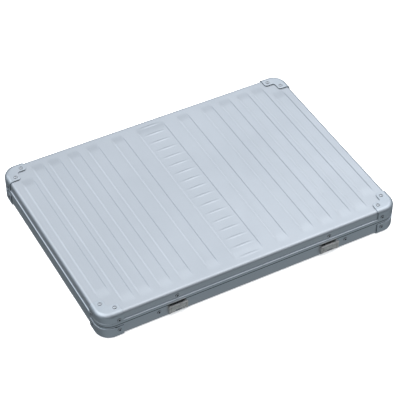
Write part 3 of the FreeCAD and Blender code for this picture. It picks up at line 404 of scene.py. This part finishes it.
# ---------------------------------------------------------------- corner caps
# A cap of pressed aluminium wraps each corner of lid and base. Its edge is cut in lobes round the rivets.
# It's stamped from the same stock as the pans, and tumbled, so its edges are soft.
def cap_edge_painted_shade(add, place):
    """Painted shade at the foot of the cap's cut edges, on the pan's flat and walls, but not round its rolled
    corners.
    """
    flat_fade, wall_fade, corner_cut = (0.0002, 0.0008), (0.0003, 0.0009), 0.0155
    rolled = bend_radius + 0.0005

    def kept(dirt, limits):
        """The painted shade only where each value is under its limit."""
        for value, limit in limits:
            dirt = worked(add, "MULTIPLY", dirt, worked(add, "LESS_THAN", value, limit))
        return dirt

    split = add("ShaderNodeSeparateXYZ", {"Vector": place}).outputs
    x, y = (worked(add, "ABSOLUTE", split[axis]) for axis in ("X", "Y"))
    panel_gap = (lid_panel - base_panel) / 2
    off = worked(add, "ABSOLUTE", worked(add, "SUBTRACT", split["Z"], lid_panel - panel_gap))
    on_flat = between(add, off, 1.0, 0.0, *(panel_gap + fade for fade in flat_fade))
    dirt = kept(on_flat, ((x, half_x - rolled), (y, half_y - rolled),
                          (worked(add, "ADD", x, y), half_x + half_y - corner_cut)))
    for along, straight, out, wall in ((x, half_x - plan_radius, y, half_y),
                                       (y, half_y - plan_radius, x, half_x)):
        on_wall = between(add, out, 1.0, 0.0, *(wall + fade for fade in wall_fade))
        on_wall = kept(on_wall, ((along, straight), (off, panel_gap - bend_radius)))
        dirt = worked(add, "MAXIMUM", dirt, on_wall)
    return dirt


# The caps' colour carries a painted shadow line at the foot of each cut edge.
cap_stock = metal("cap stock", tones=((0.56, 0.61, 0.65), (0.61, 0.65, 0.69)), drift=0.03,
                  roughness=(0.34, 0.42), grain=0.0005, depth=0.000008, dirt=cap_edge_painted_shade)
for half in ("lid", "base"):
    for corner in ("rear_right", "rear_left", "front_left", "front_right"):
        softened(f"{half}_corner_cap_{corner}", 0.0003, cap_stock, 3)


# ---------------------------------------------------------------- rivets
# Aluminium blind rivets hold caps, rims, hinge and clip. Each has a low domed head with the hole its
# mandrel broke off in, and a rolled tail. Latch brackets have flush pins, and the feet countersunk heads.
def solids_of(node):
    """The (lowest corner, highest corner) of each loose solid in a CAD node."""
    shape = bmesh.new()
    shape.from_mesh(nodes[node].data)
    bmesh.ops.remove_doubles(shape, verts=shape.verts, dist=1e-6)
    left = set(shape.verts)
    corners = []
    while left:
        reached = [left.pop()]
        for vert in reached:
            for edge in vert.link_edges:
                other = edge.other_vert(vert)
                if other in left:
                    left.remove(other)
                    reached.append(other)
        spots = np.array([vert.co for vert in reached])
        corners.append((spots.min(0), spots.max(0)))
    shape.free()
    return sorted(corners, key=lambda pair: tuple(pair[0]))


def turned(name, outline, count=24):
    """A solid turned about Z, from an outline of (radius, height, painted shade) that starts and ends on the
    axis.
    """
    turns = np.linspace(0, 2 * math.pi, count, endpoint=False)
    points, rings, faces = [], [], []
    painted_shades = []
    for radius, height, dirt in outline:
        ring = turns[:1] if radius == 0 else turns
        painted_shades += [dirt] * len(ring)
        rings.append(np.arange(len(ring)) + len(points))
        points += [(radius * math.cos(turn), radius * math.sin(turn), height) for turn in ring]
    for low, high in zip(rings, rings[1:]):
        for step in range(count):
            after = (step + 1) % count
            corners = [low[step % len(low)], low[after % len(low)],
                       high[after % len(high)], high[step % len(high)]]
            faces.append(list(dict.fromkeys(int(corner) for corner in corners)))
    mesh = closed_mesh(name, points, faces)
    mesh.attributes.new("dirt", "FLOAT", "POINT").data.foreach_set("value", painted_shades)
    return shaded(mesh, 50)


def helper_object(name, data):
    """An object in the scene that isn't a piece: a template, a lamp, the floor or the camera."""
    helper = bpy.data.objects.new(name, data)
    bpy.context.scene.collection.objects.link(helper)
    return helper


def rivet_tree():
    """Sets a head on every seat, facing its way, and a tail behind it at the end of its grip."""
    tree = bpy.data.node_groups.new("riveting", "GeometryNodeTree")
    for name, kind in (("Seats", "Geometry"), ("Head", "Object"), ("Tail", "Object"), ("Finish", "Material"),
                       ("Seed", "Int"), ("Slack", "Float")):
        tree.interface.new_socket(name, in_out="INPUT", socket_type=f"NodeSocket{kind}")
    tree.interface.new_socket("Rivets", in_out="OUTPUT", socket_type="NodeSocketGeometry")

    add = node_adder(tree)
    given = add("NodeGroupInput", {}).outputs
    facing = add("GeometryNodeInputNamedAttribute", {"Name": "facing"}, data_type="FLOAT_VECTOR").outputs[0]
    grip = add("GeometryNodeInputNamedAttribute", {"Name": "grip"}, data_type="FLOAT").outputs[0]
    upright = add("FunctionNodeAlignRotationToVector", {"Vector": facing}, axis="Z").outputs[0]
    loosest = add("ShaderNodeMath", {0: given["Slack"], 1: -1.0}, operation="MULTIPLY").outputs[0]
    tilt = add("FunctionNodeRandomValue", {"Min": loosest, "Max": given["Slack"], "Seed": given["Seed"]},
               data_type="FLOAT").outputs["Value"]
    lean = add("FunctionNodeAxisAngleToRotation", {"Axis": (1, 0, 0), "Angle": tilt}).outputs[0]
    seated = add("FunctionNodeRotateRotation", {"Rotation": upright, "Rotate By": lean},
                 rotation_space="LOCAL").outputs[0]
    behind = add("ShaderNodeMath", {0: grip, 1: -1.0}, operation="MULTIPLY").outputs[0]
    back = add("ShaderNodeVectorMath", {0: facing, "Scale": behind}, operation="SCALE").outputs[0]
    tail_seats = add("GeometryNodeSetPosition", {"Geometry": given["Seats"], "Offset": back}).outputs[0]
    joined = add("GeometryNodeJoinGeometry", {})
    for seats, shape, facing_way in ((given["Seats"], given["Head"], seated),
                                     (tail_seats, given["Tail"], upright)):
        template = add("GeometryNodeObjectInfo", {"Object": shape, "As Instance": True}).outputs["Geometry"]
        placed = add("GeometryNodeInstanceOnPoints",
                     {"Points": seats, "Instance": template, "Rotation": facing_way}).outputs[0]
        tree.links.new(placed, joined.inputs[0])
    solid = add("GeometryNodeRealizeInstances", {"Geometry": joined.outputs[0]}).outputs[0]
    finished = add("GeometryNodeSetMaterial", {"Geometry": solid, "Material": given["Finish"]}).outputs[0]
    add("NodeGroupOutput", {0: finished})
    return tree


head_height, tail_height = 0.0008, 0.0008


def head_shape(name, stub_shade):
    """The low dome, with the broken stub of the mandrel in the middle; painted shade in its hole and at its
    foot.
    """
    stub = [(0, 0.0005, stub_shade), (0.0006, 0.00048, stub_shade), (0.0008, 0.0005, 1)]
    dome = [(0.0010, 0.00074, 1), (0.0012, head_height, 0), (0.0014, 0.00074, 0), (0.0017, 0.0006, 0),
            (0.0020, 0.00036, 0.5), (0.0022, 0.00014, 1), (0.0022, 0.0, 1)]
    shank = [(0.0012, 0.0, 1), (0.0012, -0.0006, 1), (0, -0.0006, 1)]
    return helper_object(name, turned(name, stub + dome + shank))


# Heads on the flat tops get a paler painted shade on the mandrel stub than heads in the walls.
pale_stub_head, dark_stub_head = head_shape("wiped head", 0.1), head_shape("grimy head", 1.0)
rivet_tail = helper_object("tail", turned("tail", [
    (0, 0.0004, 0), (0.0012, 0.0004, 0), (0.0012, 0.0, 0), (0.0016, -0.0001, 0), (0.0017, -0.0004, 0),
    (0.0014, -0.00072, 0), (0.0009, -tail_height, 0), (0.0005, -0.0005, 1), (0, -0.0005, 1)]))
riveting = rivet_tree()


def set_rivets(node, material, head, facing=None):
    """Blind rivets where the CAD node has them. Those in the walls face straight out of the nearest wall."""
    seed, most_lean, wall_zone = 7, 0.02, 0.004
    seats, ways, grips = [], [], []
    for low, high in solids_of(node):
        middle = (low + high) / 2
        if facing is None:
            in_end_wall = abs(middle[0]) > half_x - wall_zone
            way = np.array([np.sign(middle[0]), 0, 0] if in_end_wall else [0, np.sign(middle[1]), 0])
        else:
            way = np.array(facing, dtype=float)
        length = abs((high - low) @ way)
        seats.append(middle + way * (length / 2 - head_height))
        ways.append(way)
        grips.append(length - head_height - tail_height)
    points = bpy.data.meshes.new(f"{node} seats")
    points.from_pydata([tuple(seat) for seat in seats], [], [])
    points.attributes.new("facing", "FLOAT_VECTOR", "POINT").data.foreach_set("vector", np.ravel(ways))
    points.attributes.new("grip", "FLOAT", "POINT").data.foreach_set("value", grips)
    holder = helper_object(f"{node} seats", points)
    step = holder.modifiers.new("riveting", "NODES")
    step.node_group = riveting
    given = {"Head": head, "Tail": rivet_tail, "Finish": material, "Seed": seed, "Slack": most_lean}
    for socket in riveting.interface.items_tree:
        if socket.item_type == "SOCKET" and socket.name in given:
            step[socket.identifier] = given[socket.name]
    bpy.context.view_layer.update()
    finished = bpy.data.meshes.new_from_object(holder.evaluated_get(bpy.context.evaluated_depsgraph_get()))
    bpy.data.objects.remove(holder)
    add_piece(f"{node}_set", finished, material, node)


def rivet_painted_shade(add, place):
    """The painted shade that each rivet's outline carries, in its hole and at its foot, wherever the rivet is
    placed.
    """
    return add("ShaderNodeAttribute", {}, attribute_name="dirt").outputs["Fac"]


# The rivets' colour darkens by the painted shade their outlines carry.
rivet_metal = metal("rivet metal", tones=((0.58, 0.62, 0.66), (0.66, 0.69, 0.72)), drift=0.004,
                    roughness=(0.28, 0.38), grain=0.0004, depth=0.000006, dirt=rivet_painted_shade)
set_rivets("lid_cap_rivets", rivet_metal, pale_stub_head, facing=(0, 0, 1))
for node in ("lid_cap_side_rivets", "base_cap_side_rivets", "base_rim_rivets", "hasp_rivets",
             "hinge_lid_rivets", "hinge_base_rivets"):
    set_rivets(node, rivet_metal, dark_stub_head)
set_rivets("clip_rivets", rivet_metal, pale_stub_head, facing=(0, 0, 1))
for helper in (pale_stub_head, dark_stub_head, rivet_tail):
    bpy.data.objects.remove(helper)
for node in ("base_cap_foot_rivets", "latch_bracket_rivets"):
    softened(node, 0.00008, rivet_metal)


# ---------------------------------------------------------------- hinge
# A piano hinge along the back: two strips of rolled aluminium, with knuckles curled round a drawn steel pin.
# It's riveted to both pans through their rims. The knuckles are polished by turning.
hinge_strip = metal("hinge strip", tones=((0.55, 0.59, 0.63), (0.61, 0.65, 0.69)), drift=0.03,
                    roughness=(0.28, 0.36), grain=0.0006, depth=0.000006, stretch=(0.08, 1, 1))
pin_steel = metal("pin steel", tones=((0.50, 0.51, 0.53), (0.58, 0.59, 0.60)), drift=0.008,
                  roughness=(0.24, 0.34), grain=0.0003, depth=0.000004, stretch=(0.1, 1, 1))
for node in ("hinge_lid_leaf", "hinge_base_leaf"):
    softened(node, 0.00012, hinge_strip)
softened("hinge_pin", 0.0002, pin_steel)


# ---------------------------------------------------------------- latches
# Two small snap latches: a bracket and flap of stamped stainless steel, a hinge pin, and a torsion spring of
# piano wire. The flap's tooth holds a hasp riveted inside the lid. Steel looks warmer than the aluminium.
latch_steel = metal("latch steel", tones=((0.58, 0.55, 0.52), (0.88, 0.84, 0.80)), drift=0.004,
                    roughness=(0.26, 0.42), grain=0.0004, depth=0.00001, stretch=(0.08, 1, 1))
wire_steel = metal("wire steel", tones=((0.30, 0.31, 0.33), (0.44, 0.45, 0.47)), drift=0.004,
                   roughness=(0.24, 0.36), grain=0.0003, depth=0.000004)
for side in ("left", "right"):
    for piece in ("bracket", "flap", "hasp"):
        softened(f"latch_{side}_{piece}", 0.00012, latch_steel)
    softened(f"latch_{side}_pin", 0.0001, pin_steel)


def dress(node, material):
    """A CAD piece that keeps its own shape and takes a finish."""
    for holder in nodes[node].material_slots:
        holder.material = material


for node in ("latch_left_spring", "latch_right_spring", "clip_spring"):
    dress(node, wire_steel)


# ---------------------------------------------------------------- writing board
# A sheet of black ABS with a fine leather grain, cut with round corners. It drops onto two ABS rails glued
# along the base's ends, over four pegs, and lifts out to reach the tray under it.
def plastic(name, tones, roughness, grain, depth):
    """A moulded plastic, rubber or foam with a fine grain, and long scuffs that change its gloss."""
    drift, scuff_size, scuff_gloss, scuff_range = 0.05, 0.004, (-0.04, 0.06), (0.45, 0.75)
    material, tree, shader, add = new_material(name)
    place = add("ShaderNodeTexCoord", {}).outputs["Object"]
    tree.links.new(drifting_tone(add, place, tones, drift), shader.inputs["Base Color"])
    fine = noise(add, place, grain, detail=4.0)
    scuffs = noise(add, place, scuff_size, (0.05, 1, 1), detail=4.0)
    give_surface(tree, shader, add, fine, roughness, between(add, scuffs, *scuff_gloss, *scuff_range), depth)
    return material


board_plastic = plastic("board plastic", tones=((0.022, 0.023, 0.025), (0.032, 0.033, 0.036)),
                        roughness=(0.38, 0.52), grain=0.0011, depth=0.00007)
rail_plastic = plastic("rail plastic", tones=((0.030, 0.031, 0.034), (0.042, 0.043, 0.046)),
                       roughness=(0.42, 0.55), grain=0.0008, depth=0.00003)
softened("writing_board", 0.0004, board_plastic, 3)
for node in ("board_rail_left", "board_rail_right", "board_pegs"):
    softened(node, 0.0003, rail_plastic)


# ---------------------------------------------------------------- clip
# The paper clip across the board's right end: a base plate and a sprung lever, both pressed from
# nickel-plated steel, with a strip of black rubber along the jaw. The lever turns on a sprung pin.
nickel = metal("nickel plate", tones=((0.60, 0.59, 0.57), (0.68, 0.67, 0.65)), drift=0.03,
               roughness=(0.14, 0.22), grain=0.0005, depth=0.000003, stretch=(1, 0.08, 1))
for node in ("clip_base", "clip_lever"):
    softened(node, 0.0002, nickel, 3)
softened("clip_pin", 0.0002, pin_steel)
grip_rubber = plastic("grip rubber", tones=((0.018, 0.018, 0.018), (0.028, 0.027, 0.026)),
                      roughness=(0.62, 0.78), grain=0.0006, depth=0.00003)
softened("clip_grip", 0.0003, grip_rubber)


# ---------------------------------------------------------------- lining
# A sheet of dark grey foam glued inside the lid, which keeps papers from rattling. Its cut edge is soft,
# and its face is open-celled.
lining_foam = plastic("lining foam", tones=((0.044, 0.046, 0.050), (0.051, 0.053, 0.058)),
                      roughness=(0.88, 0.96), grain=0.0012, depth=0.00035)
lining = softened("lid_lining", 0.0006, lining_foam, 3)


# ---------------------------------------------------------------- studio
# A white floor that only the camera and the shadows meet, under a large soft light and a bright ceiling.
# The camera looks down on the front left of the case with a long lens.
def floor():
    """A white floor under the feet, which the metals don't mirror."""
    size = 12.0
    ground = bpy.data.meshes.new("floor")
    corners = [(-size, -size, 0), (size, -size, 0), (size, size, 0), (-size, size, 0)]
    ground.from_pydata(corners, [], [(0, 1, 2, 3)])
    material, _, shader, _ = new_material("floor paint")
    shader.inputs["Base Color"].default_value = (0.92, 0.92, 0.92, 1)
    shader.inputs["Roughness"].default_value = 0.9
    shader.inputs["Specular IOR Level"].default_value = 0.1
    shader.inputs["Emission Color"].default_value = (1, 1, 1, 1)
    shader.inputs["Emission Strength"].default_value = 0.45
    ground.materials.append(material)
    piece = helper_object("floor", ground)
    piece.location.z = cad_box[0][2]
    piece.visible_diffuse = False
    piece.visible_glossy = False


def room():
    """What the metal mirrors: dim below the horizon, bright overhead, and darker to the left and in front."""
    world = bpy.data.worlds.new("studio")
    world.use_nodes = True
    bpy.context.scene.world = world
    tree = world.node_tree
    add = node_adder(tree)

    def graded(value, levels):
        """A colour for each value from -1 to 1, by its share of the way between them."""
        share = add("ShaderNodeMapRange", {"Value": value, "From Min": -1.0, "From Max": 1.0})
        ramp = add("ShaderNodeValToRGB", {0: share.outputs["Result"]})
        steps = ramp.color_ramp.elements
        steps[0].position, steps[1].position = levels[0][0], levels[-1][0]
        for position, _ in levels[1:-1]:
            steps.new(position)
        for step, (_, colour) in zip(steps, levels):
            step.color = (*colour, 1)
        return ramp.outputs["Color"]

    def greys(*levels):
        return [(position, (grey,) * 3) for position, grey in levels]

    def mixed(factor, first, second, blend):
        return add("ShaderNodeMix", {0: factor, 6: first, 7: second}, data_type="RGBA",
                   blend_type=blend).outputs[2]

    places = add("ShaderNodeTexCoord", {}).outputs["Generated"]
    split = add("ShaderNodeSeparateXYZ", {0: places}).outputs
    overhead = graded(split["Z"], (
        (0.0, (0.19, 0.21, 0.23)), (0.56, (0.19, 0.21, 0.23)), (0.63, (0.22, 0.24, 0.26)),
        (0.73, (0.42, 0.45, 0.49)), (0.80, (0.66, 0.69, 0.735)), (0.88, (0.70, 0.73, 0.775)),
        (0.95, (0.90, 0.93, 0.97)), (1.0, (0.92, 0.95, 0.99))))
    across = graded(split["X"], greys((0.0, 0.90), (0.28, 0.86), (0.42, 0.70), (0.50, 0.47), (0.62, 0.48),
                                      (0.70, 0.84), (1.0, 0.82)))
    along = graded(split["Y"], greys((0.0, 0.45), (0.20, 0.45), (0.43, 1.0), (1.0, 1.0)))
    lower = graded(split["Y"], (
        (0.0, (0.128, 0.144, 0.154)), (0.25, (0.128, 0.144, 0.154)), (0.50, (0.080, 0.089, 0.097)),
        (1.0, (0.066, 0.075, 0.081))))
    upper = mixed(1.0, mixed(1.0, overhead, across, "MULTIPLY"), along, "MULTIPLY")
    horizon = graded(split["Z"], greys((0.0, 0.0), (0.36, 0.0), (0.50, 1.0), (1.0, 1.0)))
    background = tree.nodes["Background"]
    tree.links.new(mixed(horizon, lower, upper, "MIX"), background.inputs["Color"])
    background.inputs["Strength"].default_value = 2.26


def soft_light(name, place, size, power):
    """A large square lamp that faces the case and lights it, but isn't mirrored in the metal."""
    lamp = bpy.data.lights.new(name, "AREA")
    lamp.shape = "RECTANGLE"
    lamp.size, lamp.size_y = size, size
    lamp.energy = power
    holder = helper_object(name, lamp)
    holder.location = place
    holder.rotation_euler = Vector(place).to_track_quat("Z", "Y").to_euler()
    holder.visible_glossy = False


floor()
room()
soft_light("floor light", place=(-0.4, -0.3, 3.0), size=4.0, power=220)

lens_camera = bpy.data.cameras.new("camera")
lens_camera.lens = 135.6
lens_camera.sensor_width = 36
lens_camera.shift_x = 0.0071
lens_camera.shift_y = 0.0209
camera = helper_object("camera", lens_camera)
camera.location = (-0.5529, -1.0301, 1.1217)
turn, tip = math.radians(-28.23), math.radians(43.78)
backwards = Vector((math.sin(turn) * math.cos(tip), -math.cos(turn) * math.cos(tip), math.sin(tip)))
camera.rotation_euler = backwards.to_track_quat("Z", "Y").to_euler()
bpy.context.scene.camera = camera
bpy.context.scene.view_settings.view_transform = "Standard"
